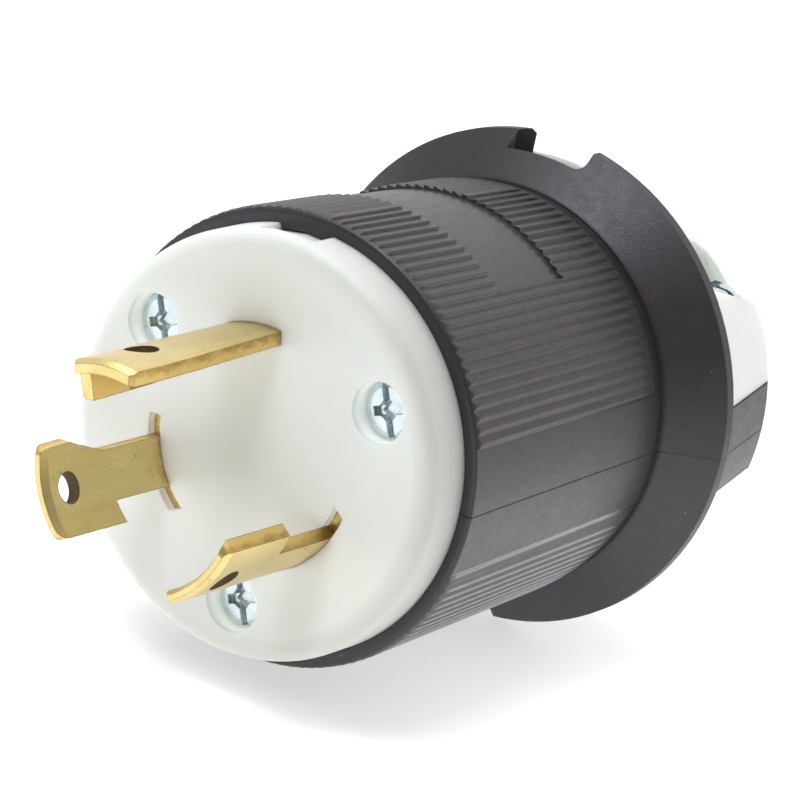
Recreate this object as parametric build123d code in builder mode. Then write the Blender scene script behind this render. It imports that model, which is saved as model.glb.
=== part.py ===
from build123d import *
from math import atan2, cos, radians, sin, sqrt
import os

os.makedirs("parts", exist_ok=True)

# Locking plug lying on its side.  The plug axis is Y: the blades point to -Y, the cord end
# to +Y, and Y = 0 is the front surface of the white face.  Z is up, the mould seam of the
# housing lies in the horizontal plane through the axis.

# ---- driving dimensions (mm) ------------------------------------------------------------
FACE_R = 23.4            # white face
FACE_PROUD = 5.8         # how far the face stands out of the housing
FACE_EDGE = 1.5          # rounded rim of the face
FACE_SEAT = 9.8          # rear of the wide part of the face
CORE_R = 21.2            # core of the face and of the terminal block
CORE_Y = 13.0            # joint between face and terminal block
BLOCK_END = 30.0

BLADE_RO = 13.48         # outside radius of the curved blades
BLADE_T = 1.46
BLADE_RI = BLADE_RO - BLADE_T
BLADE_LEN = 20.3         # line blades, from the face
GROUND_LEN = 27.1
WING_Y = 1.0             # shoulders of a line blade, sunk in the slot
STEP_Y = 9.3             # locking step, from the face
NECK_CW, NECK_CCW = 2.66, 2.72
HEAD_CW, HEAD_CCW = 4.58, 5.16
WING_CW, WING_CCW = 4.95, 5.3
GROUND_CW, GROUND_CCW = 3.0, 3.88
FAN_D = 11.1             # depth at which the clockwise widths of a line blade are given
BLADE_END = 27.5         # rear end of the terminal tabs
A_GROUND, A_LINE1, A_LINE2 = 99.0, 207.2, 322.0

BARREL_R0 = 25.25        # rib tops at the front rim
BARREL_R1 = 23.75        # rib tops at the flange
BARREL_END = 46.1
RIB_PITCH = 3.0          # degrees
BAND_HALF = 17.0         # smooth bands beside the mould seam, degrees
PANEL_HALF = 36.5        # blank panel on top, degrees
PANEL_Y0, PANEL_Y1 = 19.6, 32.5
BORE_R = 21.35

FLANGE_R = 28.5
FLANGE_Y = 51.2          # front edge of the flange rim
FLANGE_T = 1.3
NOTCH_R = 26.4           # floor of the flange notches at the front of the flange
NOTCH_FALL = 0.66        # the floor falls away to the rear

TAIL_Y0, TAIL_Y1 = 52.9, 67.6
TAIL_R0, TAIL_SLOPE = 27.9, 0.23
TAIL_STEP = 2.1          # crown is this much inside the ears
KEEL_R = 21.2            # jaw below the ears
SPLIT_Z = 5.55           # joint between jaw and saddle
EAR_TOP, EAR_BOTTOM = 17.4, -4.95
CORD_R = 9.5
CLAMP_X, CLAMP_Y = 17.4, 60.2
CLAMP_SEAT = 13.4        # under the heads of the clamp screws

SCREWS = ((17.35, 32.0), (17.6, 150.0), (17.3, 275.0))   # three long assembly screws: radius, angle
SCREW_SINK = 3.3        # depth of their counterbores


def at(y):
    """Plane across the plug axis at y, seen from the front: local x right, local y up."""
    return Plane(origin=(0, y, 0), x_dir=(1, 0, 0), z_dir=(0, -1, 0))


def radial(angle):
    """Plane through the axis facing out at angle: local x along the plug, local y around it."""
    a = radians(angle)
    return Plane(origin=(0, 0, 0), x_dir=(0, 1, 0), z_dir=(cos(a), 0, sin(a)))


def curved(angle, outline, r0, r1, fan=False):
    """A flat outline (axial, around) pressed into the wall between two radii.  With fan, the
    clockwise edges are cut towards the axis; otherwise the edges are cut square."""
    with BuildPart() as sheet:
        for d in (8.0, 15.0):
            with BuildSketch(radial(angle).offset(d)):
                with BuildLine():
                    Polyline(*[(y, t * d / FAN_D if fan and t < 0 else t) for y, t in outline], close=True)
                make_face()
        loft(ruled=True)
        with BuildSketch(at(-40)):
            Circle(r1)
            Circle(r0, mode=Mode.SUBTRACT)
        extrude(amount=-90, mode=Mode.INTERSECT)
    return sheet.part


def pan_screw(seat, head_r, head_h, shank_r, length, slot, cross):
    """Pan head screw; the seat plane faces out of the head."""
    with BuildPart() as screw:
        with BuildSketch(seat):
            Circle(head_r)
        extrude(amount=head_h)
        fillet(screw.edges().filter_by(GeomType.CIRCLE).sort_by(Axis(seat.origin, seat.z_dir))[-1], head_h * 0.55)
        with BuildSketch(seat):
            Circle(shank_r)
        extrude(amount=-length)
        chamfer(screw.edges().filter_by(GeomType.CIRCLE).sort_by(Axis(seat.origin, seat.z_dir))[0], shank_r * 0.35)
        with BuildSketch(seat.offset(head_h)):
            Rectangle(slot, 0.8)
            Rectangle(1.05, cross)
        extrude(amount=-head_h * 0.5, mode=Mode.SUBTRACT)
        with BuildSketch(seat.offset(head_h)):
            Rectangle(2.2, 2.2, rotation=45)
        extrude(amount=-head_h * 0.8, taper=22, mode=Mode.SUBTRACT)
    return screw.part


def tail_r(y):
    return TAIL_R0 - TAIL_SLOPE * (y - TAIL_Y0)


# ---- blades -----------------------------------------------------------------------------
TERMINAL_Y = 21.6        # terminal screw station
HOLE_R = 1.7
BEVEL_Y, BEVEL_R = 0.95, 0.42   # lead-in at the blade tips


def line_outline():
    tip = -BLADE_LEN
    return [
        (CORE_Y, -WING_CW), (WING_Y, -WING_CW), (WING_Y, -NECK_CW), (-8.8, -NECK_CW), (-9.9, -2.74), (-11.0, -2.98),
        (-14.4, -4.08), (-15.3, -4.42), (-16.1, -HEAD_CW), (-17.0, -HEAD_CW + 0.04), (tip + 1.1, -HEAD_CW + 0.08),
        (tip + 0.5, -HEAD_CW + 0.22), (tip + 0.15, -HEAD_CW + 0.5), (tip, -HEAD_CW + 0.85),
        (tip, HEAD_CCW - 1.0), (tip + 0.12, HEAD_CCW - 0.6), (tip + 0.42, HEAD_CCW - 0.22), (tip + 1.0, HEAD_CCW),
        (-STEP_Y, HEAD_CCW), (-STEP_Y, NECK_CCW), (WING_Y, NECK_CCW), (WING_Y, WING_CCW),
        (CORE_Y, WING_CCW), (CORE_Y, NECK_CCW), (BLADE_END, NECK_CCW), (BLADE_END, -NECK_CW), (CORE_Y, -NECK_CW),
    ]


def tip_bevel(tip, r0, r1):
    """The rings cut off the outer and inner corners of a blade tip."""
    with BuildPart() as rings:
        with BuildSketch(Plane.XY):
            with BuildLine():
                Polyline((r1 - BEVEL_R, tip - 0.02), (r1 + 1, tip - 0.02), (r1 + 1, tip + BEVEL_Y), (r1, tip + BEVEL_Y), close=True)
            make_face()
            with BuildLine():
                Polyline((r0 + BEVEL_R, tip - 0.02), (r0 - 1, tip - 0.02), (r0 - 1, tip + BEVEL_Y), (r0, tip + BEVEL_Y), close=True)
            make_face()
        revolve(axis=Axis.Y)
    return rings.part


with BuildPart() as line_blade_1:
    add(curved(A_LINE1, line_outline(), BLADE_RI, BLADE_RO, fan=True))
    with BuildSketch(radial(A_LINE1)):
        with Locations((-16.4, 0.12)):
            Circle(HOLE_R)
        with Locations((TERMINAL_Y, 0)):
            Circle(1.85)
    extrude(amount=25, mode=Mode.SUBTRACT)
    add(tip_bevel(-BLADE_LEN, BLADE_RI, BLADE_RO), mode=Mode.SUBTRACT)
line_blade_1.part.label = "line_blade_1"
export_step(line_blade_1.part, "parts/line_blade_1.step")

with BuildPart() as line_blade_2:
    add(curved(A_LINE2, line_outline(), BLADE_RI, BLADE_RO, fan=True))
    with BuildSketch(radial(A_LINE2)):
        with Locations((-16.4, 0.12)):
            Circle(HOLE_R)
        with Locations((TERMINAL_Y, 0)):
            Circle(1.85)
    extrude(amount=25, mode=Mode.SUBTRACT)
    add(tip_bevel(-BLADE_LEN, BLADE_RI, BLADE_RO), mode=Mode.SUBTRACT)
line_blade_2.part.label = "line_blade_2"
export_step(line_blade_2.part, "parts/line_blade_2.step")

LEG_LEN = 10.4           # inward leg of the ground blade, from its tip


def leg_points(lift):
    """Section of the leg: it leans a little, so its sides are given as (around, out) pairs."""
    a = radians(A_GROUND)
    return [(d * cos(a) - t * sin(a), d * sin(a) + t * cos(a)) for t, d in (
        (0.69, 9.2 + lift), (1.75, 9.2 + lift), (2.17, 9.5 + lift), (2.92, 12.55), (1.48, 12.55))]


with BuildPart() as ground_blade:
    add(curved(A_GROUND, [
        (BLADE_END, -GROUND_CW), (0.2, -GROUND_CW), (-8.0, -3.36), (-15.3, -3.7), (-22.0, -3.88),
        (-GROUND_LEN + 0.5, -3.88), (-GROUND_LEN, -3.5), (-GROUND_LEN, GROUND_CCW - 0.5),
        (-GROUND_LEN + 0.6, GROUND_CCW), (BLADE_END, GROUND_CCW),
    ], BLADE_RI, BLADE_RO))
    with BuildSketch(radial(A_GROUND).offset(BLADE_RI - 1.2)):
        with Locations((TERMINAL_Y, 0)):
            Circle(1.85)
    extrude(amount=6, mode=Mode.SUBTRACT)
    with BuildPart(mode=Mode.PRIVATE) as leg:
        with BuildSketch(at(-GROUND_LEN + 0.05)):
            with BuildLine():
                Polyline(*leg_points(0.0), close=True)
            make_face()
        with BuildSketch(at(-GROUND_LEN + LEG_LEN)):
            with BuildLine():
                Polyline(*leg_points(0.3), close=True)
            make_face()
        loft(ruled=True)
    add(leg.part)
    with BuildSketch(radial(A_GROUND).offset(BLADE_RI - 0.7)):
        with Locations((-19.2, 0.9)):
            Circle(1.8)
    extrude(amount=6, mode=Mode.SUBTRACT)
    with BuildSketch(Plane.XY):
        with BuildLine():
            Polyline((BLADE_RO - BEVEL_R, -GROUND_LEN - 0.02), (BLADE_RO + 1, -GROUND_LEN - 0.02),
                     (BLADE_RO + 1, -GROUND_LEN + BEVEL_Y), (BLADE_RO, -GROUND_LEN + BEVEL_Y), close=True)
        make_face()
    revolve(axis=Axis.Y, mode=Mode.SUBTRACT)
ground_blade.part.label = "ground_blade"
export_step(ground_blade.part, "parts/ground_blade.step")

# ---- terminals --------------------------------------------------------------------------
PLATE_R0, PLATE_T = BLADE_RO + 0.06, 1.3
TERMINALS = (("line_1", A_LINE1), ("line_2", A_LINE2), ("ground", A_GROUND))


def clamp_plate(angle):
    with BuildPart() as plate:
        with BuildSketch(radial(angle).offset(PLATE_R0)):
            with Locations((TERMINAL_Y, 0)):
                RectangleRounded(8.4, 8.6, 1.2)
                Circle(2.05, mode=Mode.SUBTRACT)
        extrude(amount=PLATE_T)
        with BuildSketch(radial(angle).offset(PLATE_R0)):
            with Locations((TERMINAL_Y - 2.9, 0), (TERMINAL_Y + 2.9, 0)):
                Rectangle(0.7, 9)
        extrude(amount=0.35, mode=Mode.SUBTRACT)
    return plate.part


def terminal_screw(angle):
    a = radians(angle)
    r = PLATE_R0 + PLATE_T
    seat = Plane(origin=(r * cos(a), TERMINAL_Y, r * sin(a)), x_dir=(0, 1, 0), z_dir=(cos(a), 0, sin(a)))
    return pan_screw(seat, 3.5, 2.4, 1.75, r - 10.1, 8.0, 3.6)


with BuildPart() as line_clamp_1:
    add(clamp_plate(A_LINE1))
line_clamp_1.part.label = "line_clamp_1"
export_step(line_clamp_1.part, "parts/line_clamp_1.step")

with BuildPart() as line_clamp_2:
    add(clamp_plate(A_LINE2))
line_clamp_2.part.label = "line_clamp_2"
export_step(line_clamp_2.part, "parts/line_clamp_2.step")

with BuildPart() as ground_clamp:
    add(clamp_plate(A_GROUND))
ground_clamp.part.label = "ground_clamp"
export_step(ground_clamp.part, "parts/ground_clamp.step")

with BuildPart() as line_terminal_screw_1:
    add(terminal_screw(A_LINE1))
line_terminal_screw_1.part.label = "line_terminal_screw_1"
export_step(line_terminal_screw_1.part, "parts/line_terminal_screw_1.step")

with BuildPart() as line_terminal_screw_2:
    add(terminal_screw(A_LINE2))
line_terminal_screw_2.part.label = "line_terminal_screw_2"
export_step(line_terminal_screw_2.part, "parts/line_terminal_screw_2.step")

with BuildPart() as ground_terminal_screw:
    add(terminal_screw(A_GROUND))
ground_terminal_screw.part.label = "ground_terminal_screw"
export_step(ground_terminal_screw.part, "parts/ground_terminal_screw.step")

# ---- face -------------------------------------------------------------------------------
SLOT_GAP = 0.05
KEY_A0, KEY_A1 = 87.0, 103.5


def blade_slot(angle, cw, ccw, y0, y1, fan=False):
    return curved(angle, [(y0, -cw - SLOT_GAP), (y0, ccw + SLOT_GAP), (y1, ccw + SLOT_GAP), (y1, -cw - SLOT_GAP)],
                  BLADE_RI - SLOT_GAP, BLADE_RO + SLOT_GAP, fan)


def screw_points():
    return [(r * cos(radians(a)), r * sin(radians(a))) for r, a in SCREWS]


with BuildPart() as face:
    with BuildSketch(Plane.XY):
        with BuildLine():
            Polyline((0, 0), (FACE_R, 0), (FACE_R, FACE_SEAT), (CORE_R, FACE_SEAT), (CORE_R, CORE_Y), (0, CORE_Y), close=True)
        make_face()
    revolve(axis=Axis.Y)
    fillet(face.edges().filter_by(GeomType.CIRCLE).group_by(Axis.Y)[0], FACE_EDGE)
    add(blade_slot(A_LINE1, WING_CW, WING_CCW, -2, CORE_Y + 1, fan=True), mode=Mode.SUBTRACT)
    add(blade_slot(A_LINE2, WING_CW, WING_CCW, -2, CORE_Y + 1, fan=True), mode=Mode.SUBTRACT)
    add(blade_slot(A_GROUND, GROUND_CW, GROUND_CCW, -0.2, CORE_Y + 1), mode=Mode.SUBTRACT)
    with BuildSketch(at(-1)):
        with Locations(*screw_points()):
            Circle(1.95)
    extrude(amount=-(CORE_Y + 2), mode=Mode.SUBTRACT)
    with BuildSketch(at(-1)):
        with Locations(*screw_points()):
            Circle(3.35)
    extrude(amount=-(SCREW_SINK + 1), mode=Mode.SUBTRACT)
    # key notch in the rim
    with BuildSketch(at(2.2)):
        with BuildLine():
            Polyline(*[(r * cos(radians(a)), r * sin(radians(a))) for r, a in (
                (22.55, KEY_A0 - 0.4), (25.5, KEY_A0 - 0.4), (25.5, KEY_A1 + 0.4), (22.55, KEY_A1 + 0.4),
                (22.65, (KEY_A0 + KEY_A1) / 2))], close=True)
        make_face()
    extrude(amount=-12, mode=Mode.SUBTRACT)
face.part.label = "face"
export_step(face.part, "parts/face.step")

# ---- terminal block ---------------------------------------------------------------------
POCKET_Y0, POCKET_Y1 = 16.0, 27.6
with BuildPart() as terminal_block:
    with BuildSketch(at(CORE_Y)):
        Circle(CORE_R)
    extrude(amount=-(BLOCK_END - CORE_Y))
    for angle, cw, ccw, fan in ((A_LINE1, NECK_CW, NECK_CCW, True), (A_LINE2, NECK_CW, NECK_CCW, True),
                                (A_GROUND, GROUND_CW, GROUND_CCW, False)):
        add(blade_slot(angle, cw, ccw, CORE_Y - 1, POCKET_Y0 + 1, fan), mode=Mode.SUBTRACT)
        with BuildSketch(radial(angle).offset(9.6)):
            with Locations(((POCKET_Y0 + POCKET_Y1) / 2, 0)):
                RectangleRounded(POCKET_Y1 - POCKET_Y0, 12.0, 1.0)
        extrude(amount=20, mode=Mode.SUBTRACT)
        with BuildSketch(at(BLOCK_END + 1)):
            with Locations((14.4 * cos(radians(angle)), 14.4 * sin(radians(angle)))):
                Circle(3.6)
        extrude(amount=BLOCK_END + 1 - POCKET_Y1 + 1, mode=Mode.SUBTRACT)
    with BuildSketch(at(CORE_Y - 1)):
        with Locations(*screw_points()):
            Circle(1.95)
    extrude(amount=-(BLOCK_END - CORE_Y + 2), mode=Mode.SUBTRACT)
terminal_block.part.label = "terminal_block"
export_step(terminal_block.part, "parts/terminal_block.step")

# ---- housing ----------------------------------------------------------------------------
def crest(y):
    return BARREL_R0 + (BARREL_R1 - BARREL_R0) * (y - FACE_PROUD) / (BARREL_END - FACE_PROUD)


def depth(y):
    return 0.30 + 0.30 * (y - FACE_PROUD) / (40.0 - FACE_PROUD)


REAR_RING = ((40.5, 0.0), (42.2, 0.12), (43.8, 0.42), (45.2, 0.85))   # barrel drawn in before the flange


def rib_ring(y, c, d):
    """Section of the grip ribs all round: stepped teeth of crest radius c and depth d, each with its
    short side parallel to the opening of the mould (Z), so a quarter is drawn and mirrored.  Nothing
    is cut at the smooth bands."""
    def polar(r, a):
        return r * cos(a), r * sin(a)

    pitch = radians(RIB_PITCH) * c
    first = radians(BAND_HALF)
    quarter = [polar(c + 3, first)]
    for k in range(RIB_COUNT):
        a = first + k * radians(RIB_PITCH)
        e = min(d, 0.5 * pitch * sin(a) / cos(a))
        rx, rz = polar(c - e, a)
        top = sqrt((c - 0.25 * e) ** 2 - rx * rx)
        crown = atan2(top, rx)
        quarter += [(rx, rz), (rx, top), polar(c - 0.04 * e, crown + 0.25 * e / c), polar(c, crown + 0.6 * e / c)]
    upper = quarter + [(-x, z) for x, z in reversed(quarter)]
    return upper + [(x, -z) for x, z in reversed(upper)]


RIB_COUNT = int((90 - BAND_HALF) / RIB_PITCH) + 1
with BuildPart() as ribs:
    with BuildSketch(at(FACE_PROUD - 0.3)):
        Circle(34)
    extrude(amount=-(43.9 - FACE_PROUD + 0.3))
    with BuildPart(mode=Mode.PRIVATE) as crests:
        for y, c, d in ((FACE_PROUD - 0.5, crest(FACE_PROUD - 0.5), 0.30), (26.0, crest(26.0), 0.29),
                        (41.4, crest(40.5) - 0.02, 0.44), (44.0, crest(40.5) - 0.40, 0.04)):
            with BuildSketch(at(y)):
                with BuildLine():
                    Polyline(*rib_ring(y, c, d), close=True)
                make_face()
        loft(ruled=True)
    add(crests.part, mode=Mode.SUBTRACT)

# the ribs next to the lower edges of the smooth bands are trimmed parallel to the mould opening
with BuildPart() as trim:
    for y in (FACE_PROUD - 0.5, 45.0):
        level = min(crest(y) - depth(y), crest(40.5) - depth(40.5)) if y > 40 else crest(y) - depth(y)
        with BuildSketch(at(y)):
            with BuildLine():
                Polyline(*[(level * cos(radians(BAND_HALF)) + u, -level * sin(radians(BAND_HALF)) + v) for u, v in (
                    (0, 0), (6, 0), (6, -5), (0, -5))], close=True)
            make_face()
    loft(ruled=True)


def notch_floor(y):
    return NOTCH_R - NOTCH_FALL * (y - 49.2)


with BuildPart() as notch:
    with BuildSketch(Plane.XY.offset(20)):
        with BuildLine():
            Polyline((-4.6, TAIL_Y0 + 0.02), (-5.9, 50.7), (-5.9, 46.8), (4.25, 46.8), (4.25, TAIL_Y0 + 0.02), close=True)
        make_face()
    extrude(amount=15)
    with BuildSketch(Plane.XY):
        with BuildLine():
            Polyline((0, 46.5), (notch_floor(46.5), 46.5), (notch_floor(53.5), 53.5), (0, 53.5), close=True)
        make_face()
    revolve(axis=Axis.Y, mode=Mode.SUBTRACT)
    fillet(notch.edges().filter_by(lambda e: abs(e.center().X - 4.25) < 0.01).sort_by(Axis.Z)[0], 1.2)

with BuildPart() as housing:
    # outside: barrel, dished flange and conical tail
    with BuildSketch(Plane.XY):
        with BuildLine():
            Polyline((0, FACE_PROUD), (BARREL_R0 - 0.85, FACE_PROUD), (BARREL_R0 - 0.48, FACE_PROUD + 0.10),
                     (BARREL_R0 - 0.28, FACE_PROUD + 0.28), (BARREL_R0 - 0.13, FACE_PROUD + 0.65),
                     (BARREL_R0 - 0.06, FACE_PROUD + 1.3),
                     *[(crest(40.5) - drop, y) for y, drop in REAR_RING],
                     (BARREL_R1 - 0.8, BARREL_END - 0.1), (BARREL_R1 - 0.45, BARREL_END),
                     (FLANGE_R - 0.12, FLANGE_Y - 0.32), (FLANGE_R, FLANGE_Y - 0.18),
                     (FLANGE_R, FLANGE_Y + FLANGE_T - 0.2), (FLANGE_R - 0.2, FLANGE_Y + FLANGE_T),
                     (TAIL_R0, TAIL_Y0), (tail_r(TAIL_Y1), TAIL_Y1), (0, TAIL_Y1), close=True)
        make_face()
    revolve(axis=Axis.Y)
    fillet(housing.edges().filter_by(GeomType.CIRCLE).group_by(Axis.Y)[-1], 2.4)
    # keel: everything below the ears is drawn in
    with BuildSketch(at(TAIL_Y0)):
        Circle(35)
        with Locations((0, 35 + EAR_BOTTOM)):
            Rectangle(90, 70, mode=Mode.SUBTRACT)
        Circle(KEEL_R, mode=Mode.SUBTRACT)
    extrude(amount=-20, mode=Mode.SUBTRACT)
    # seat of the saddle above the joint plane
    with BuildSketch(at(TAIL_Y0)):
        with Locations((0, SPLIT_Z + 20)):
            Rectangle(80, 40)
    extrude(amount=-30, mode=Mode.SUBTRACT)
    # inside: face seat, bore, funnel and cord passage
    with BuildSketch(Plane.XY):
        with BuildLine():
            Polyline((0, FACE_PROUD - 1), (FACE_R + 0.05, FACE_PROUD - 1), (FACE_R + 0.05, FACE_SEAT), (BORE_R, FACE_SEAT),
                     (BORE_R, 41.0), (CORD_R + 2.0, 48.5), (CORD_R, 54.0), (CORD_R, TAIL_Y1 - 1.6),
                     (CORD_R + 1.6, TAIL_Y1), (CORD_R + 1.6, TAIL_Y1 + 1), (0, TAIL_Y1 + 1), close=True)
        make_face()
    revolve(axis=Axis.Y, mode=Mode.SUBTRACT)
    # screw bosses behind the terminal block
    with BuildSketch(at(BLOCK_END)):
        with Locations(*screw_points()):
            Circle(4.2)
    extrude(amount=-15.5)
    with BuildSketch(at(BLOCK_END - 1)):
        with Locations(*screw_points()):
            Circle(1.75)
    extrude(amount=-12, mode=Mode.SUBTRACT)
    # key tab in the front rim
    with BuildSketch(at(FACE_PROUD)):
        with BuildLine():
            Polyline(*[(r * cos(radians(a)), r * sin(radians(a))) for r, a in (
                (22.8, KEY_A0), (24.2, KEY_A0), (24.2, (KEY_A0 + KEY_A1) / 2), (24.2, KEY_A1), (22.8, KEY_A1),
                (22.85, (KEY_A0 + KEY_A1) / 2))], close=True)
        make_face()
    extrude(amount=-(FACE_SEAT - FACE_PROUD))
    # flange notches, top and bottom
    add(notch.part, mode=Mode.SUBTRACT)
    add(notch.part.mirror(Plane.XY), mode=Mode.SUBTRACT)
    # grip ribs
    add(ribs.part, mode=Mode.SUBTRACT)
    add(trim.part, mode=Mode.SUBTRACT)
    add(trim.part.mirror(Plane.YZ), mode=Mode.SUBTRACT)
    # smooth bands beside the mould seam, level with the bottoms of the ribs
    for side in (0, 180):
        with BuildSketch(Plane.XY.rotated((0, BAND_HALF + side, 0))):
            with BuildLine():
                Polyline((crest(FACE_PROUD) - depth(FACE_PROUD), FACE_PROUD - 1), (BARREL_R0 + 2, FACE_PROUD - 1),
                         (BARREL_R0 + 2, 45.2), (crest(40.5) - 0.85, 45.2), (crest(40.0) - depth(40.0), 40.0), close=True)
            make_face()
        revolve(axis=Axis.Y, revolution_arc=-2 * BAND_HALF, mode=Mode.SUBTRACT)
    # blank panel on top, level with the bottoms of the ribs
    with BuildSketch(Plane.XY.rotated((0, -(90 - PANEL_HALF), 0))):
        with BuildLine():
            Polyline((crest(PANEL_Y0) - depth(PANEL_Y0) - 0.02, PANEL_Y0), (BARREL_R0 + 2, PANEL_Y0),
                     (BARREL_R0 + 2, PANEL_Y1), (crest(PANEL_Y1) - depth(PANEL_Y1) - 0.02, PANEL_Y1), close=True)
        make_face()
    revolve(axis=Axis.Y, revolution_arc=-2 * PANEL_HALF, mode=Mode.SUBTRACT)
    # clamp screw clearance and nut pockets in the jaw
    with BuildSketch(Plane.XY.offset(SPLIT_Z)):
        with Locations((CLAMP_X, CLAMP_Y), (-CLAMP_X, CLAMP_Y)):
            Circle(2.15)
    extrude(amount=-14, mode=Mode.SUBTRACT)
    with BuildSketch(Plane.XY.offset(1.4)):
        with Locations((CLAMP_X, CLAMP_Y), (-CLAMP_X, CLAMP_Y)):
            Rectangle(7.1, 7.1)
    extrude(amount=-30, mode=Mode.SUBTRACT)
housing.part.label = "housing"
export_step(housing.part, "parts/housing.step")

# ---- cord clamp saddle ------------------------------------------------------------------
SADDLE_Y0 = TAIL_Y0 + 0.25
with BuildPart() as cord_clamp:
    with BuildSketch(Plane.XY):
        with BuildLine():
            Polyline((0, SADDLE_Y0), (tail_r(SADDLE_Y0), SADDLE_Y0), (tail_r(TAIL_Y1), TAIL_Y1), (0, TAIL_Y1), close=True)
        make_face()
    revolve(axis=Axis.Y)
    fillet(cord_clamp.edges().filter_by(GeomType.CIRCLE).group_by(Axis.Y)[-1], 2.4)
    # crown above the ears is drawn in
    with BuildSketch(at(SADDLE_Y0 - 1)):
        Circle(35)
        with Locations((0, EAR_TOP - 35)):
            Rectangle(90, 70, mode=Mode.SUBTRACT)
        Circle(tail_r(SADDLE_Y0 - 1) - TAIL_STEP, mode=Mode.SUBTRACT)
    extrude(amount=-30, taper=-13.0, mode=Mode.SUBTRACT)
    with BuildSketch(at(SADDLE_Y0 - 1)):
        with Locations((0, SPLIT_Z - 20)):
            Rectangle(80, 40)
    extrude(amount=-30, mode=Mode.SUBTRACT)
    with BuildSketch(Plane.XY):
        with BuildLine():
            Polyline((0, SADDLE_Y0 - 1), (CORD_R + 1.2, SADDLE_Y0 - 1), (CORD_R, SADDLE_Y0 + 1.2), (CORD_R, TAIL_Y1 - 1.6),
                     (CORD_R + 1.6, TAIL_Y1), (CORD_R + 1.6, TAIL_Y1 + 1), (0, TAIL_Y1 + 1), close=True)
        make_face()
    revolve(axis=Axis.Y, mode=Mode.SUBTRACT)
    with BuildSketch(Plane.XY.offset(SPLIT_Z - 1)):
        with Locations((CLAMP_X, CLAMP_Y), (-CLAMP_X, CLAMP_Y)):
            Circle(2.2)
    extrude(amount=30, mode=Mode.SUBTRACT)
    with BuildSketch(Plane.XY.offset(CLAMP_SEAT)):
        with Locations((CLAMP_X, CLAMP_Y), (-CLAMP_X, CLAMP_Y)):
            Circle(3.7)
    extrude(amount=30, mode=Mode.SUBTRACT)
    # the rear end leans in above the joint
    with BuildSketch(Plane.YZ):
        with BuildLine():
            Polyline((TAIL_Y1 - 0.1, SPLIT_Z - 0.5), (TAIL_Y1 - 3.0, 15.5), (TAIL_Y1 - 4.8, 30), (TAIL_Y1 + 5, 30),
                     (TAIL_Y1 + 5, SPLIT_Z - 0.5), close=True)
        make_face()
    extrude(amount=40, both=True, mode=Mode.SUBTRACT)
cord_clamp.part.label = "cord_clamp"
export_step(cord_clamp.part, "parts/cord_clamp.step")

# ---- fasteners --------------------------------------------------------------------------
with BuildPart() as assembly_screws:
    for x, z in screw_points():
        add(pan_screw(Plane(origin=(x, SCREW_SINK, z), x_dir=(cos(radians(112)), 0, sin(radians(112))), z_dir=(0, -1, 0)),
                      3.2, 1.5, 1.7, BLOCK_END + 9.5 - SCREW_SINK, 5.8, 3.6))
assembly_screws.part.label = "assembly_screws"
export_step(assembly_screws.part, "parts/assembly_screws.step")

with BuildPart() as clamp_screws:
    for x in (CLAMP_X, -CLAMP_X):
        add(pan_screw(Plane(origin=(x, CLAMP_Y, CLAMP_SEAT), x_dir=(1, 0, 0), z_dir=(0, 0, 1)),
                      3.4, 2.4, 1.95, CLAMP_SEAT + 3.5, 7.4, 4.2))
clamp_screws.part.label = "clamp_screws"
export_step(clamp_screws.part, "parts/clamp_screws.step")

with BuildPart() as clamp_nuts:
    for x in (CLAMP_X, -CLAMP_X):
        with BuildSketch(Plane.XY.offset(1.4)):
            with Locations((x, CLAMP_Y)):
                RectangleRounded(6.9, 6.9, 0.5)
                Circle(2.0, mode=Mode.SUBTRACT)
        extrude(amount=-2.8)
clamp_nuts.part.label = "clamp_nuts"
export_step(clamp_nuts.part, "parts/clamp_nuts.step")
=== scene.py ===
import bpy, bmesh, math
import numpy as np
from mathutils import Matrix, Vector


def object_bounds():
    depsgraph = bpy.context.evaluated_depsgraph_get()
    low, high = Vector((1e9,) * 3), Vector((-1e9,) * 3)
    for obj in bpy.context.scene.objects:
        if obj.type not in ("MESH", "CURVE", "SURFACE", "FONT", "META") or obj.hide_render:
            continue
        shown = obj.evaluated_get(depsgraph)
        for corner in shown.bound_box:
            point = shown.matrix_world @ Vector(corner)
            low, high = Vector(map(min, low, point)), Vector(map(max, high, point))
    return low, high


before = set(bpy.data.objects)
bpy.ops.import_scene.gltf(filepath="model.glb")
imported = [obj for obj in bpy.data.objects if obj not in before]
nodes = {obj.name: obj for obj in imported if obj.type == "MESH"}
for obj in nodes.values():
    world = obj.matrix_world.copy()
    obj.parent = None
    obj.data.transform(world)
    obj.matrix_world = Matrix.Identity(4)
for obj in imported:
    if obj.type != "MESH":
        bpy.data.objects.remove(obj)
cad_lo, cad_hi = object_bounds()
MM = 0.001


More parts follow.
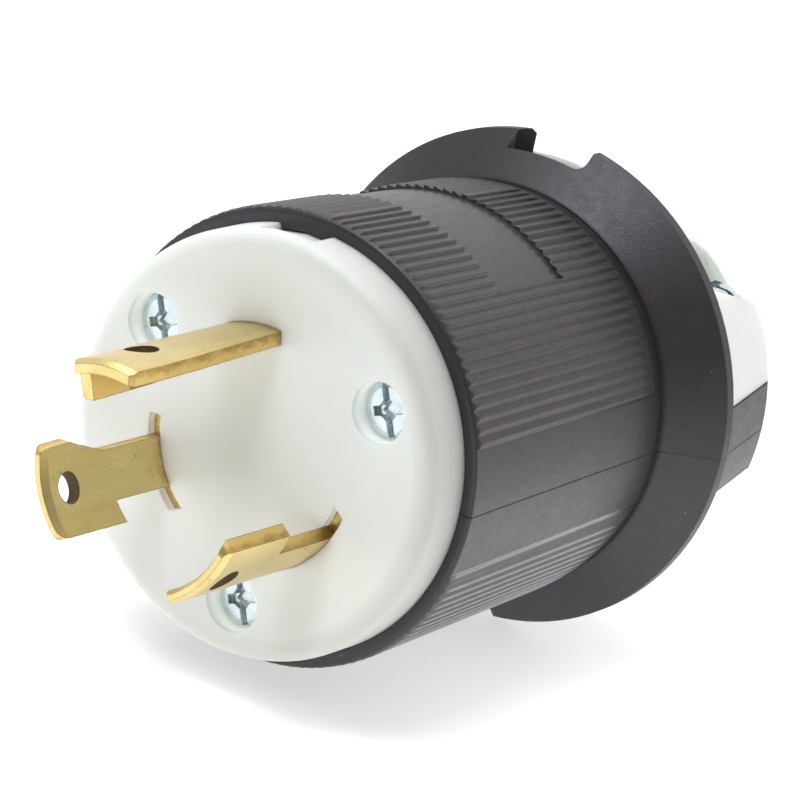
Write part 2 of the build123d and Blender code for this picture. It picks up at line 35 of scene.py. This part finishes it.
# ---------------------------------------------------------------- node helpers
class Mat:
    """Small wrapper that adds nodes to a new material."""

    def __init__(self, name):
        self.m = bpy.data.materials.new(name)
        self.m.use_nodes = True
        self.t = self.m.node_tree
        self.t.nodes.clear()
        self.out = self.t.nodes.new("ShaderNodeOutputMaterial")
        self.bsdf = self.t.nodes.new("ShaderNodeBsdfPrincipled")
        self.t.links.new(self.bsdf.outputs[0], self.out.inputs["Surface"])
        self.tc = self.t.nodes.new("ShaderNodeTexCoord")

    def n(self, kind, **props):
        node = self.t.nodes.new(kind)
        for k, v in props.items():
            if k in node.inputs:
                node.inputs[k].default_value = v
            else:
                setattr(node, k, v)
        return node

    def link(self, a, b):
        self.t.links.new(a, b)
        return b

    def noise(self, scale, detail=4.0, rough=0.55, stretch=None, coord=None, distortion=0.0):
        src = coord or self.tc.outputs["Object"]
        if stretch:
            mp = self.n("ShaderNodeMapping")
            mp.inputs["Scale"].default_value = stretch
            self.link(src, mp.inputs["Vector"])
            src = mp.outputs[0]
        nz = self.n("ShaderNodeTexNoise")
        nz.inputs["Scale"].default_value = scale
        nz.inputs["Detail"].default_value = detail
        nz.inputs["Roughness"].default_value = rough
        nz.inputs["Distortion"].default_value = distortion
        self.link(src, nz.inputs["Vector"])
        return nz.outputs["Fac"]

    def ramp(self, fac, stops, interp="LINEAR"):
        r = self.n("ShaderNodeValToRGB")
        r.color_ramp.interpolation = interp
        while len(r.color_ramp.elements) < len(stops):
            r.color_ramp.elements.new(0.5)
        for e, (p, c) in zip(r.color_ramp.elements, stops):
            e.position = p
            e.color = (*c, 1.0) if len(c) == 3 else c
        self.link(fac, r.inputs["Fac"])
        return r.outputs["Color"]

    def rng(self, fac, a, b, c, d):
        r = self.n("ShaderNodeMapRange")
        for k, v in zip(("From Min", "From Max", "To Min", "To Max"), (a, b, c, d)):
            r.inputs[k].default_value = v
        self.link(fac, r.inputs["Value"])
        return r.outputs[0]

    def math(self, op, a, b=None, clamp=False):
        m = self.n("ShaderNodeMath", operation=op, use_clamp=clamp)
        for i, v in enumerate((a, b)):
            if v is None:
                continue
            if isinstance(v, (int, float)):
                m.inputs[i].default_value = v
            else:
                self.link(v, m.inputs[i])
        return m.outputs[0]

    def mix(self, fac, a, b, blend="MIX"):
        m = self.n("ShaderNodeMix", data_type="RGBA", blend_type=blend)
        for sock, v in ((m.inputs["Factor"], fac), (m.inputs[6], a), (m.inputs[7], b)):
            if isinstance(v, (int, float)):
                sock.default_value = v
            elif isinstance(v, tuple):
                sock.default_value = (*v, 1.0) if len(v) == 3 else v
            else:
                self.link(v, sock)
        return m.outputs[2]

    def bump(self, height, strength, distance, normal=None):
        b = self.n("ShaderNodeBump")
        b.inputs["Strength"].default_value = strength
        b.inputs["Distance"].default_value = distance
        self.link(height, b.inputs["Height"])
        if normal is not None:
            self.link(normal, b.inputs["Normal"])
        return b.outputs[0]

    def set(self, **vals):
        names = {"color": "Base Color", "rough": "Roughness", "metal": "Metallic", "normal": "Normal",
                 "spec": "Specular IOR Level", "sss": "Subsurface Weight", "sss_r": "Subsurface Radius",
                 "sss_s": "Subsurface Scale", "coat": "Coat Weight", "coat_rough": "Coat Roughness", "ior": "IOR"}
        for k, v in vals.items():
            s = self.bsdf.inputs[names[k]]
            if isinstance(v, (int, float)):
                s.default_value = v
            elif isinstance(v, tuple):
                s.default_value = v if len(v) == len(s.default_value) else (*v, 1.0)
            else:
                self.link(v, s)
        return self.m


def xyz(m):
    """Object coordinates, split, plus the distance from the plug axis."""
    sep = m.n("ShaderNodeSeparateXYZ")
    m.link(m.tc.outputs["Object"], sep.inputs[0])
    x, y, z = sep.outputs
    r = m.math("SQRT", m.math("ADD", m.math("MULTIPLY", x, x), m.math("MULTIPLY", z, z)))
    return x, y, z, r


def eased(m, radius, samples=4):
    """Normal of the surface with its sharp corners rounded over."""
    b = m.n("ShaderNodeBevel", samples=samples)
    b.inputs["Radius"].default_value = radius
    return b.outputs[0]


def edges_of(m, radius, a=0.90, b=0.995):
    """One along sharp edges, zero on open surfaces."""
    geo = m.n("ShaderNodeNewGeometry")
    dot = m.n("ShaderNodeVectorMath", operation="DOT_PRODUCT")
    m.link(eased(m, radius), dot.inputs[0])
    m.link(geo.outputs["True Normal"], dot.inputs[1])
    return m.rng(dot.outputs["Value"], a, b, 1.0, 0.0)


R_FRONT, R_REAR = 0.02525, 0.02375      # crest radius of the ribs at the two ends of the barrel


def black_nylon():
    m = Mat("black_nylon")
    x, y, z, r = xyz(m)
    big = m.noise(70, 3)
    fine = m.noise(5200, 2, 0.6)
    mid = m.noise(900, 4, 0.6)
    col = m.ramp(big, [(0.25, (0.0190, 0.0166, 0.0182)), (0.75, (0.0262, 0.0232, 0.0250))])
    scuff = m.ramp(m.noise(1400, 6, 0.75), [(0.66, (0, 0, 0)), (0.8, (1, 1, 1))])
    col = m.mix(m.math("MULTIPLY", scuff, 0.22), col, (0.060, 0.058, 0.060))
    # the blank panel on top is painted paler than the ribs: a painted sheen where it faces the light from above
    ang = m.math("ARCTAN2", x, z)
    panel = m.math("MULTIPLY", m.rng(m.math("ABSOLUTE", ang), 0.632, 0.640, 1.0, 0.0),
                   m.math("MULTIPLY", m.rng(y, 0.0194, 0.0197, 0.0, 1.0), m.rng(y, 0.0324, 0.0327, 1.0, 0.0)))
    panel = m.math("MULTIPLY", panel, m.rng(r, 0.0243, 0.0246, 1.0, 0.0))
    col = m.mix(m.math("MULTIPLY", panel, 0.8), col, (0.045, 0.043, 0.044))
    # grip ribs: painted highlights, paler on the short sides of the upper teeth and on the crests of the lower ones,
    # broken up by noise
    ribbed = m.math("MULTIPLY", m.rng(y, 0.0064, 0.0076, 0.0, 1.0), m.rng(y, 0.0385, 0.0430, 1.0, 0.0))
    below = m.math("SUBTRACT", m.rng(y, 0.0058, 0.0461, R_FRONT, R_REAR), r)
    nsep = m.n("ShaderNodeSeparateXYZ")
    m.link(m.tc.outputs["Normal"], nsep.inputs[0])
    steep = m.rng(m.math("ABSOLUTE", nsep.outputs["X"]), 0.90, 0.97, 0.0, 1.0)
    slope = m.math("DIVIDE", z, m.math("MAXIMUM", m.math("ABSOLUTE", x), 0.0001))
    upper = m.math("MULTIPLY", steep, m.rng(slope, 0.85, 1.75, 0.0, 1.0))
    upper = m.math("MULTIPLY", upper, m.rng(below, 0.00002, 0.00006, 0.0, 1.0))
    lower = m.math("MULTIPLY", m.rng(slope, -0.36, -0.32, 1.0, 0.0), m.rng(below, 0.00006, 0.00013, 1.0, 0.0))
    highlight_breakup = m.rng(m.noise(500, 4, 0.6), 0.3, 0.7, 0.75, 1.0)
    col = m.mix(m.math("MULTIPLY", m.math("MULTIPLY", upper, ribbed), highlight_breakup), col, (0.150, 0.142, 0.148))
    col = m.mix(m.math("MULTIPLY", m.math("MULTIPLY", lower, ribbed), highlight_breakup), col, (0.30, 0.29, 0.295))
    # painted highlight: a pale line along the lower edge of each smooth band; a dark step growing along its upper edge
    off = m.math("ABSOLUTE", m.math("ADD", slope, 0.3057))
    col = m.mix(m.math("MULTIPLY", m.rng(off, 0.007, 0.016, 0.85, 0.0), ribbed), col, (0.30, 0.29, 0.295))
    off = m.math("ABSOLUTE", m.math("SUBTRACT", slope, 0.3057))
    step = m.math("MULTIPLY", m.rng(off, 0.004, 0.013, 1.0, 0.0), m.math("MULTIPLY", m.rng(y, 0.026, 0.040, 0.0, 1.0), m.rng(y, 0.0448, 0.0455, 1.0, 0.0)))
    step = m.math("MULTIPLY", step, m.rng(r, 0.0222, 0.0226, 0.0, 1.0))
    # dust caught in the grain
    dust = m.ramp(m.noise(2300, 1, 0.5), [(0.775, (0, 0, 0)), (0.81, (1, 1, 1))])
    col = m.mix(m.math("MULTIPLY", dust, 0.4), col, (0.30, 0.30, 0.31))
    tail = m.math("MULTIPLY", m.rng(y, 0.0528, 0.0532, 0.0, 1.0), m.rng(m.noise(190, 4, 0.6), 0.35, 0.65, 0.0, 1.0))
    col = m.mix(m.math("MULTIPLY", tail, 0.25), col, (0.050, 0.048, 0.050))
    # dark joint where the saddle sits on the jaw
    joint = m.math("MULTIPLY", m.rng(y, 0.0528, 0.0532, 0.0, 1.0), m.rng(z, 0.00515, 0.00540, 0.0, 1.0))
    col = m.mix(m.math("MULTIPLY", joint, 0.9), col, (0.004, 0.004, 0.004))
    # mould seam in the horizontal plane through the axis
    wander = m.math("MULTIPLY", m.math("SUBTRACT", m.noise(120, 3), 0.5), 0.00018)
    seam = m.rng(m.math("ABSOLUTE", m.math("ADD", z, wander)), 0.00003, 0.00012, 1.0, 0.0)
    # flange and tail carry a coarser moulded grain than the barrel, and the seam is fainter on the flange
    rear = m.rng(y, 0.0462, 0.0468, 0.0, 1.0)
    seam = m.math("MULTIPLY", seam, m.rng(m.math("MULTIPLY", rear, m.rng(y, 0.0528, 0.0530, 1.0, 0.0)), 0.0, 1.0, 1.0, 0.3))
    col = m.mix(m.math("MULTIPLY", seam, 0.75), col, (0.006, 0.006, 0.006))
    rough = m.math("ADD", m.rng(mid, 0.3, 0.7, 0.36, 0.46), m.rng(fine, 0.3, 0.7, -0.04, 0.05))
    rough = m.math("ADD", rough, m.math("MULTIPLY", seam, 0.3))
    rough = m.math("ADD", rough, m.math("MULTIPLY", rear, 0.04))
    nrm = eased(m, 0.00020)
    grain = m.math("MULTIPLY", fine, m.rng(rear, 0.0, 1.0, 0.45, 1.0))
    nrm = m.bump(grain, 0.40, 0.00004, nrm)
    nrm = m.bump(mid, 0.10, 0.00006, nrm)
    nrm = m.bump(m.math("MULTIPLY", m.noise(4300, 1, 0.5), rear), 0.40, 0.00006, nrm)
    nrm = m.bump(m.math("MULTIPLY", seam, -1.0), 0.35, 0.00008, nrm)
    m.bsdf.inputs["Specular Tint"].default_value = (1.0, 0.95, 0.995, 1.0)
    # the gloss dies away in the corner before the flange, in the joint and along the step
    corner = m.math("MULTIPLY", m.rng(y, 0.0405, 0.0452, 0.0, 0.6), m.rng(y, 0.0460, 0.0464, 1.0, 0.0))
    dull = m.math("MAXIMUM", m.math("MAXIMUM", m.math("ADD", corner, m.math("MULTIPLY", m.math("SUBTRACT", 1.0, tail), m.rng(y, 0.0528, 0.0532, 0.0, 0.16))), joint), m.math("MAXIMUM", step, m.math("MULTIPLY", seam, 0.5)))
    spec = m.rng(dull, 0.0, 1.0, 0.58, 0.05)
    return m.set(color=col, rough=rough, normal=nrm, spec=spec)


def white_nylon():
    m = Mat("white_nylon")
    big = m.noise(45, 3)
    col = m.ramp(big, [(0.3, (0.775, 0.790, 0.752)), (0.7, (0.805, 0.818, 0.780))])
    speck = m.ramp(m.noise(1500, 2, 0.7), [(0.74, (0, 0, 0)), (0.80, (1, 1, 1))])
    col = m.mix(m.math("MULTIPLY", speck, 0.06), col, (0.62, 0.62, 0.58))
    fine = m.noise(1800, 3, 0.6)
    rough = m.rng(m.noise(300, 4), 0.3, 0.7, 0.38, 0.50)
    nrm = m.bump(fine, 0.08, 0.00004, eased(m, 0.00022))
    # painted light: a faint glow keeps the walls round the openings pale inside, standing in for light let through the
    # thin walls
    x, y, z, r = xyz(m)
    glow_in_openings = m.math("MULTIPLY", m.rng(y, 0.0002, 0.0012, 0.0, 1.0), m.rng(y, 0.010, 0.012, 1.0, 0.0))
    glow_in_openings = m.math("MULTIPLY", glow_in_openings, m.rng(r, 0.0218, 0.0222, 1.0, 0.0))
    m.bsdf.inputs["Emission Color"].default_value = (0.95, 1.0, 0.97, 1.0)
    m.link(m.math("MULTIPLY", glow_in_openings, 0.30), m.bsdf.inputs["Emission Strength"])
    # painted shade: the rounded rim of the face is painted darker, most on its right side
    rim_shade = m.math("MULTIPLY", m.rng(r, 0.0205, 0.0233, 0.0, 1.0), m.rng(x, -0.012, 0.018, 0.0, 1.0))
    rim_shade = m.math("MULTIPLY", rim_shade, m.rng(y, 0.006, 0.008, 1.0, 0.0))
    col = m.mix(m.math("MULTIPLY", rim_shade, 0.75), col, (0.50, 0.495, 0.455))
    m.bsdf.subsurface_method = "RANDOM_WALK"
    return m.set(color=col, rough=rough, normal=nrm, sss=0.75, sss_r=(1.0, 0.96, 0.88), sss_s=0.0022)


def grey_nylon():
    m = Mat("grey_nylon")
    col = m.ramp(m.noise(80, 3), [(0.3, (0.40, 0.40, 0.38)), (0.7, (0.47, 0.47, 0.45))])
    nrm = m.bump(m.noise(1800, 3), 0.12, 0.00004, eased(m, 0.00015))
    return m.set(color=col, rough=m.rng(m.noise(300, 4), 0.3, 0.7, 0.42, 0.56), normal=nrm)


HOLES = ((99.0, -19.2, 0.9, 1.8), (207.2, -16.4, 0.12, 1.7), (322.0, -16.4, 0.12, 1.7))   # angle, axial, around, radius


def brass(name="blade_brass", tint=(0.79, 0.635, 0.285), dark=(0.61, 0.455, 0.155), edge=(0.36, 0.20, 0.050)):
    m = Mat(name)
    x, y, z, r = xyz(m)
    streak = m.noise(420, 6, 0.65, stretch=(1.0, 0.12, 1.0))
    cloud = m.noise(160, 4, 0.6)
    grit = m.noise(3400, 3, 0.7)
    col = m.mix(m.rng(streak, 0.35, 0.75, 0.0, 0.5), tint, dark)
    col = m.mix(m.rng(cloud, 0.45, 0.75, 0.0, 0.35), col, (0.57, 0.43, 0.17))
    col = m.mix(m.rng(grit, 0.50, 0.80, 0.0, 0.30), col, (0.42, 0.30, 0.10))
    spots = m.ramp(m.noise(1300, 2, 0.5), [(0.68, (0, 0, 0)), (0.75, (1, 1, 1))])
    col = m.mix(m.math("MULTIPLY", spots, 0.5), col, (0.20, 0.12, 0.04))
    # sheared edges: the surfaces that face neither away from the plug axis nor towards it
    comb = m.n("ShaderNodeCombineXYZ")
    m.link(x, comb.inputs["X"])
    m.link(z, comb.inputs["Z"])
    nv = m.n("ShaderNodeVectorMath", operation="NORMALIZE")
    m.link(comb.outputs[0], nv.inputs[0])
    dot = m.n("ShaderNodeVectorMath", operation="DOT_PRODUCT")
    m.link(nv.outputs[0], dot.inputs[0])
    m.link(m.tc.outputs["Normal"], dot.inputs[1])
    nsep = m.n("ShaderNodeSeparateXYZ")
    m.link(m.tc.outputs["Normal"], nsep.inputs[0])
    front = m.rng(m.math("ABSOLUTE", nsep.outputs["Y"]), 0.5, 0.85, 1.0, 0.0)
    cut = m.math("MULTIPLY", m.rng(m.math("ABSOLUTE", dot.outputs["Value"]), 0.45, 0.75, 1.0, 0.0), front)
    # the torn half of the edge is brown and mottled, the burnished half stays bright
    ragged = m.math("ADD", r, m.math("MULTIPLY", m.math("SUBTRACT", m.noise(700, 6, 0.75, stretch=(1.0, 0.6, 1.0)), 0.5), 0.0022))
    torn = m.rng(ragged, 0.01255, 0.01320, 0.0, 1.0)
    patch = m.rng(m.noise(900, 5, 0.7, stretch=(1.0, 0.45, 1.0)), 0.32, 0.62, 0.25, 1.0)
    col = m.mix(m.math("MULTIPLY", cut, 0.60), col, (0.78, 0.52, 0.145))
    col = m.mix(m.math("MULTIPLY", m.math("MULTIPLY", cut, torn), m.math("MULTIPLY", patch, 0.85)), col, edge)
    # a thin brown line of tarnish along every corner
    rim = m.math("MULTIPLY", edges_of(m, 0.00017), m.rng(m.noise(1100, 4, 0.7), 0.32, 0.58, 0.25, 0.90))
    col = m.mix(rim, col, (0.20, 0.105, 0.026))
    root = m.math("MULTIPLY", m.rng(y, -0.0016, -0.0002, 0.0, 1.0), m.rng(m.noise(800, 4, 0.7), 0.40, 0.62, 0.0, 0.55))
    col = m.mix(root, col, (0.30, 0.17, 0.05))
    # painted shade: the pierced holes are painted dark inside
    hole_shade = None
    for ang, ax, ar, rad in HOLES:
        ca_, sa_ = math.cos(math.radians(ang)), math.sin(math.radians(ang))
        t = m.math("ADD", m.math("MULTIPLY", x, -sa_), m.math("MULTIPLY", z, ca_))
        out = m.math("ADD", m.math("MULTIPLY", x, ca_), m.math("MULTIPLY", z, sa_))
        dy = m.math("SUBTRACT", y, ax * MM)
        dt = m.math("SUBTRACT", t, ar * MM)
        dist = m.math("SQRT", m.math("ADD", m.math("MULTIPLY", dy, dy), m.math("MULTIPLY", dt, dt)))
        h = m.math("MULTIPLY", m.rng(dist, (rad + 0.03) * MM, (rad + 0.09) * MM, 1.0, 0.0), m.rng(out, 0.009, 0.010, 0.0, 1.0))
        hole_shade = h if hole_shade is None else m.math("MAXIMUM", hole_shade, h)
    col = m.mix(m.math("MULTIPLY", hole_shade, 0.93), col, (0.055, 0.028, 0.014))
    rough = m.math("ADD", m.rng(streak, 0.3, 0.7, 0.26, 0.38), m.math("MULTIPLY", cut, 0.08))
    rough = m.math("ADD", rough, m.math("MULTIPLY", hole_shade, 0.35))
    nrm = m.bump(streak, 0.10, 0.00005, eased(m, 0.00016))
    nrm = m.bump(grit, 0.10, 0.00003, nrm)
    return m.set(color=col, metal=m.rng(hole_shade, 0.0, 1.0, 1.0, 0.3), rough=rough, normal=nrm)


def zinc(name="zinc_steel", a=(0.52, 0.60, 0.62), b=(0.72, 0.77, 0.78)):
    m = Mat(name)
    cloud = m.noise(600, 5, 0.65)
    col = m.ramp(cloud, [(0.3, a), (0.7, b)])
    col = m.mix(m.rng(m.noise(260, 3), 0.5, 0.75, 0.0, 0.35), col, (0.42, 0.54, 0.58))
    nrm = m.bump(m.noise(1600, 4, 0.6), 0.12, 0.00004, eased(m, 0.00010))
    return m.set(color=col, metal=1.0, rough=m.rng(cloud, 0.3, 0.7, 0.18, 0.30), normal=nrm)


M_BLACK, M_WHITE, M_GREY = black_nylon(), white_nylon(), grey_nylon()
M_BRASS = brass()
M_PLATED = zinc("plated_brass", (0.60, 0.58, 0.52), (0.74, 0.72, 0.66))
M_ZINC = zinc()
M_GREEN = zinc("green_steel", (0.05, 0.26, 0.10), (0.10, 0.36, 0.16))

LOOK = {"face": M_WHITE, "terminal_block": M_GREY, "housing": M_BLACK, "cord_clamp": M_WHITE,
        "line_blade_1": M_BRASS, "line_blade_2": M_BRASS, "ground_blade": M_BRASS,
        "line_clamp_1": M_BRASS, "line_clamp_2": M_PLATED, "ground_clamp": M_BRASS,
        "line_terminal_screw_1": M_BRASS, "line_terminal_screw_2": M_ZINC, "ground_terminal_screw": M_GREEN,
        "assembly_screws": M_ZINC, "clamp_screws": M_ZINC, "clamp_nuts": M_ZINC}
for name, mat in LOOK.items():
    o = nodes[name]
    if not o.material_slots:
        o.data.materials.append(mat)
    for s in o.material_slots:
        s.material = mat

# ---------------------------------------------------------------- floor, light, camera
scene = bpy.context.scene
FLOOR_Z = cad_lo.z


def plane_mesh(name, size):
    me = bpy.data.meshes.new(name)
    s = size / 2
    me.from_pydata([(-s, -s, 0), (s, -s, 0), (s, s, 0), (-s, s, 0)], [], [(0, 1, 2, 3)])
    o = bpy.data.objects.new(name, me)
    scene.collection.objects.link(o)
    return o


floor = plane_mesh("floor", 6.0)
floor.location.z = FLOOR_Z - 0.0002
fm = Mat("floor_white")
fm.bsdf.inputs["Emission Color"].default_value = (1, 1, 1, 1)
# lit from below, strongest beside the plug
fx, fy, fz, fr = xyz(fm)
fdx, fdy = fm.math("SUBTRACT", fx, 0.062), fm.math("SUBTRACT", fy, 0.060)
fdist = fm.math("SQRT", fm.math("ADD", fm.math("MULTIPLY", fdx, fdx), fm.math("MULTIPLY", fdy, fdy)))
fm.link(fm.rng(fdist, 0.015, 0.12, 0.80, 0.26), fm.bsdf.inputs["Emission Strength"])
floor.data.materials.append(fm.set(color=fm.ramp(fm.noise(3, 2), [(0, (0.88, 0.88, 0.88)), (1, (0.91, 0.91, 0.91))]), rough=0.9))

# studio surround: a white backdrop behind the plug, a dim room in front of it
world = bpy.data.worlds.new("studio")
scene.world = world
world.use_nodes = True
wt = world.node_tree
bg = wt.nodes["Background"]
tc = wt.nodes.new("ShaderNodeTexCoord")
sep = wt.nodes.new("ShaderNodeSeparateXYZ")
wt.links.new(tc.outputs["Generated"], sep.inputs[0])
back = wt.nodes.new("ShaderNodeMapRange")
back.interpolation_type = "SMOOTHSTEP"
for k, v in zip(("From Min", "From Max", "To Min", "To Max"), (-0.22, 0.65, 0.13, 1.08)):
    back.inputs[k].default_value = v
wt.links.new(sep.outputs["Y"], back.inputs["Value"])
bg.inputs["Color"].default_value = (1.0, 1.0, 1.0, 1.0)
wt.links.new(back.outputs[0], bg.inputs["Strength"])


def area(name, loc, target, size, power, color=(1, 1, 1)):
    d = bpy.data.lights.new(name, "AREA")
    d.shape, d.size, d.energy, d.color = "SQUARE", size, power, color
    o = bpy.data.objects.new(name, d)
    o.location = loc
    o.rotation_euler = (Vector(target) - Vector(loc)).to_track_quat("-Z", "Y").to_euler()
    scene.collection.objects.link(o)
    return o


area("front_box", (-0.045, -0.40, 0.80), (0, 0.03, 0), 0.36, 3.2, (0.84, 0.91, 1.0))
area("fill", (-0.75, -0.45, 0.35), (0, 0.02, 0), 0.6, 1.2)
area("top", (-0.15, 0.0, 0.9), (0, 0.03, 0), 1.0, 6.2)

# the camera fitted to the photograph: rotation rows are right, down and forward
S = 1.0622
RIM_Y = 5.8
A_CAM, B_CAM, T_CAM, F_PX = 0.1853, 0.5971, (-11.885, 3.9035, 531.2), 5273.6
roll = math.radians(13.6)
ca, sa, cb, sb = math.cos(A_CAM), math.sin(A_CAM), math.cos(B_CAM), math.sin(B_CAM)
R = np.array([[1, 0, 0], [0, ca, -sa], [0, sa, ca]]) @ np.array([[cb, 0, sb], [0, 1, 0], [-sb, 0, cb]])
M3 = np.array([[math.cos(roll), 0, math.sin(roll)], [math.sin(roll), 0, -math.cos(roll)], [0, 1, 0]])
W = R @ M3
pos = (-W.T @ (np.array(T_CAM) * S) + np.array([0, RIM_Y, 0])) * MM
cam = bpy.data.cameras.new("camera")
cam.sensor_width = 36.0
cam.lens = F_PX / 800 * 36.0
cam.clip_start, cam.clip_end = 0.01, 50
camera = bpy.data.objects.new("camera", cam)
rot = Matrix((tuple(W[0]), tuple(-W[1]), tuple(-W[2]))).transposed()
camera.matrix_world = Matrix.Translation(Vector(pos)) @ rot.to_4x4()
scene.collection.objects.link(camera)
scene.camera = camera
scene.view_settings.view_transform = "Standard"
